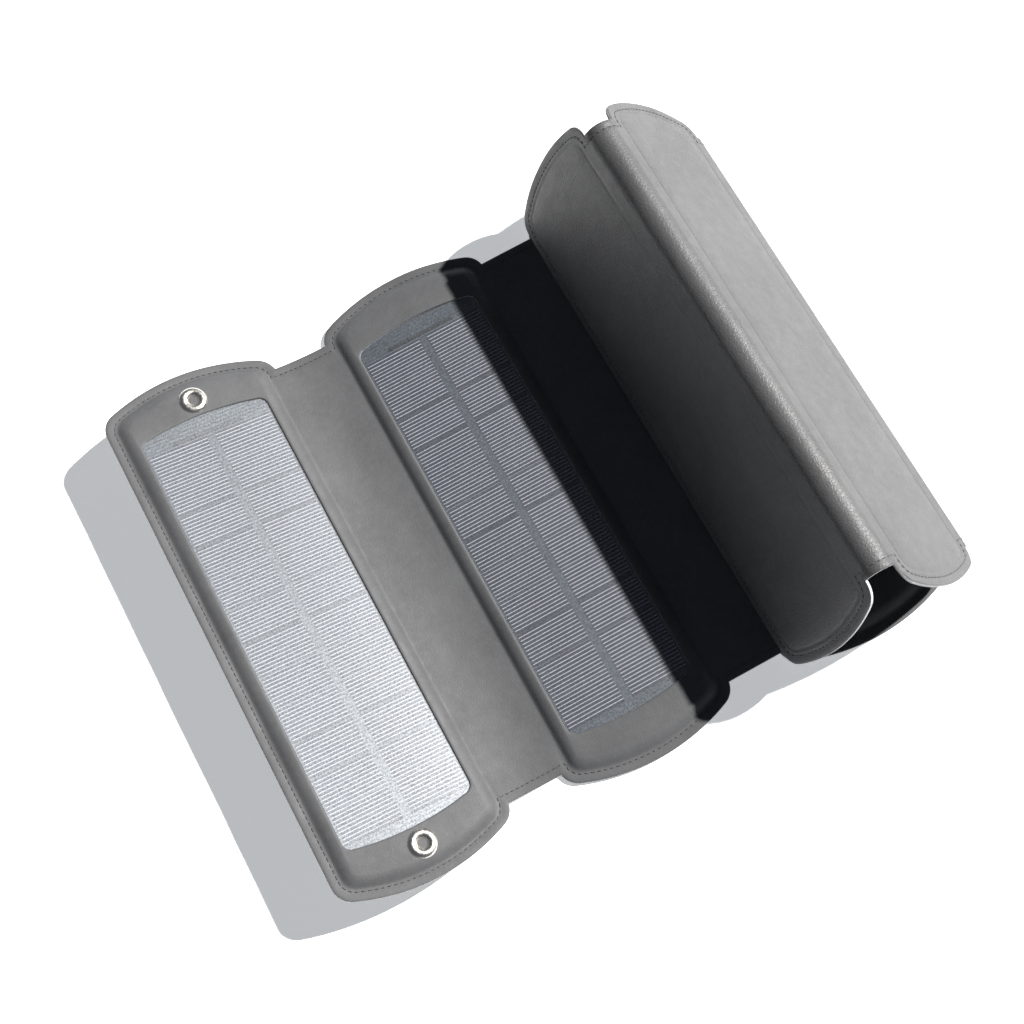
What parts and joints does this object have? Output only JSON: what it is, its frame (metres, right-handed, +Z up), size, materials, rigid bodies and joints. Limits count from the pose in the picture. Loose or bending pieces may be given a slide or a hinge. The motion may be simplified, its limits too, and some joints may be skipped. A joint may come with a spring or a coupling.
{
  "type": "folding solar panel",
  "caption": "Roll-up solar charger: padded leather sections with cell modules, joined by soft gussets, lying part folded with one end stood up as a tent.",
  "frame": {"origin": "on the ground under the middle of the strip's bounding box as it lies", "axes": "+X along the strip from the free end with the eyelets to the tent, +Y along the sections, +Z up"},
  "size_m": [0.3248, 0.27, 0.0807],
  "materials": {
    "front_leather": "smooth matt synthetic leather, stitched at the edge",
    "back_leather": "fine pebbled synthetic leather with a soft sheen",
    "fibre_board": "pressed fibre board",
    "flat_cable": "flat black cable",
    "module_board": "glass-fibre laminate, dark blue-grey",
    "tinned_foil": "tinned connecting foil",
    "solar_cell": "dark blue silicon with fine pale finger lines",
    "clear_film": "clear film with a fine embossed grain",
    "eyelet_metal": "bright nickel plate",
    "housing_plastic": "fine-textured black plastic",
    "circuit_board": "green solder mask",
    "socket_steel": "plated sheet steel",
    "lens": "translucent red",
    "screw_steel": "zinc-plated steel"
  },
  "bodies": {
    "section_1": {"front_cover_1": "front_leather", "back_cover_1": "back_leather", "fibre_board_1": "fibre_board", "flat_cable_1": "flat_cable", "module_board_1": "module_board", "connecting_foils_1": "tinned_foil", "solar_cells_1": "solar_cell", "clear_film_1": "clear_film", "eyelet_upper": "eyelet_metal", "eyelet_lower": "eyelet_metal", "eyelet_washer_upper": "eyelet_metal", "eyelet_washer_lower": "eyelet_metal"},
    "section_2": {"front_cover_2": "front_leather", "back_cover_2": "back_leather", "fibre_board_2": "fibre_board", "flat_cable_2": "flat_cable", "module_board_2": "module_board", "connecting_foils_2": "tinned_foil", "solar_cells_2": "solar_cell", "clear_film_2": "clear_film"},
    "section_3": {"front_cover_3": "front_leather", "back_cover_3": "back_leather", "fibre_board_3": "fibre_board", "flat_cable_3": "flat_cable", "module_board_3": "module_board", "connecting_foils_3": "tinned_foil", "solar_cells_3": "solar_cell", "clear_film_3": "clear_film"},
    "section_4": {"front_cover_4": "front_leather", "back_cover_4": "back_leather", "fibre_board_4": "fibre_board", "flat_cable_4": "flat_cable", "module_board_4": "module_board", "connecting_foils_4": "tinned_foil", "solar_cells_4": "solar_cell", "clear_film_4": "clear_film"},
    "section_5": {"front_cover_5": "front_leather", "back_cover_5": "back_leather", "fibre_board_5": "fibre_board", "flat_cable_5": "flat_cable", "regulator_base": "housing_plastic", "regulator_lid": "housing_plastic", "regulator_board": "circuit_board", "regulator_lead": "flat_cable", "usb_socket_left": "socket_steel", "usb_socket_right": "socket_steel", "indicator_lens": "lens", "regulator_screws": "screw_steel"},
    "gusset_1": {"gusset_front_1": "front_leather", "gusset_back_1": "back_leather", "gusset_cable_1": "flat_cable"},
    "gusset_2": {"gusset_front_2": "front_leather", "gusset_back_2": "back_leather", "gusset_cable_2": "flat_cable"},
    "gusset_3": {"gusset_front_3": "front_leather", "gusset_back_3": "back_leather", "gusset_cable_3": "flat_cable"},
    "gusset_4": {"gusset_front_4": "front_leather", "gusset_back_4": "back_leather", "gusset_cable_4": "flat_cable"}
  },
  "joints": [
    {"name": "fold_3", "type": "hinge", "parent": "section_3", "child": "gusset_3", "pos_m": [0.15717, 0, 0.00236], "axis": [0, -1, 0], "range_deg": [-64.15, 0]},
    {"name": "fold_3_far", "type": "hinge", "parent": "gusset_3", "child": "section_4", "pos_m": [0.1613, 0, 0.0109], "axis": [0, -1, 0], "range_deg": [-64.15, 0]},
    {"name": "fold_4", "type": "hinge", "parent": "section_4", "child": "gusset_4", "pos_m": [0.10794, 0, 0.07907], "axis": [0, -1, 0], "range_deg": [-58.4, 0]},
    {"name": "fold_4_far", "type": "hinge", "parent": "gusset_4", "child": "section_5", "pos_m": [0.10033, 0, 0.07817], "axis": [0, -1, 0], "range_deg": [-58.4, 0]},
    {"name": "fold_2", "type": "hinge", "parent": "section_3", "child": "gusset_2", "pos_m": [0.05767, 0, 0.001], "axis": [0, 1, 0], "range_deg": [0, 37]},
    {"name": "fold_2_far", "type": "hinge", "parent": "gusset_2", "child": "section_2", "pos_m": [0.04417, 0, 0.001], "axis": [0, 1, 0], "range_deg": [0, 37]},
    {"name": "fold_1", "type": "hinge", "parent": "section_2", "child": "gusset_1", "pos_m": [-0.05732, 0, 0.00123], "axis": [0, 1, 0], "range_deg": [-7.7, 82.3]},
    {"name": "fold_1_far", "type": "hinge", "parent": "gusset_1", "child": "section_1", "pos_m": [-0.07069, 0, 0.00303], "axis": [0, 1, 0], "range_deg": [-7.7, 82.3]}
  ],
  "couplings": [
    {"joint": "fold_3_far", "follows": "fold_3", "ratio": 1},
    {"joint": "fold_4_far", "follows": "fold_4", "ratio": 1},
    {"joint": "fold_2_far", "follows": "fold_2", "ratio": 1},
    {"joint": "fold_1_far", "follows": "fold_1", "ratio": 1}
  ]
}
